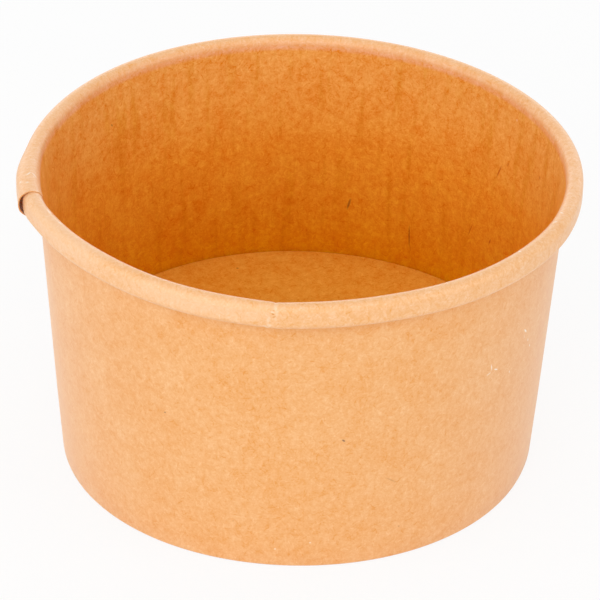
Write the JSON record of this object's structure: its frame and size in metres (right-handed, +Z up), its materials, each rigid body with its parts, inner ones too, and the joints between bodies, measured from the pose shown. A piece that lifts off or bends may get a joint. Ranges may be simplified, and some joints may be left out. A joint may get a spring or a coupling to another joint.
{
  "type": "paper ice cream tub",
  "caption": "Round tapered kraft paper tub with an outward rolled brim, a lapped side seam and a recessed floor, open at the top to hold ice cream.",
  "frame": {"origin": "centre of the ring that the tub stands on, at table level", "axes": "+Z up along the tub's axis, -Y towards the front, the lap seam towards -X"},
  "size_m": [0.0975, 0.097, 0.0556],
  "materials": {
    "sidewall_board": "natural kraft board with fine fibres, matt outside, thinly coated inside and on the brim",
    "floor_board": "natural kraft board with fine fibres, thinly coated on its upper face"
  },
  "bodies": {
    "root": {"sidewall": "sidewall_board", "bottom_disc": "floor_board"}
  },
  "joints": []
}
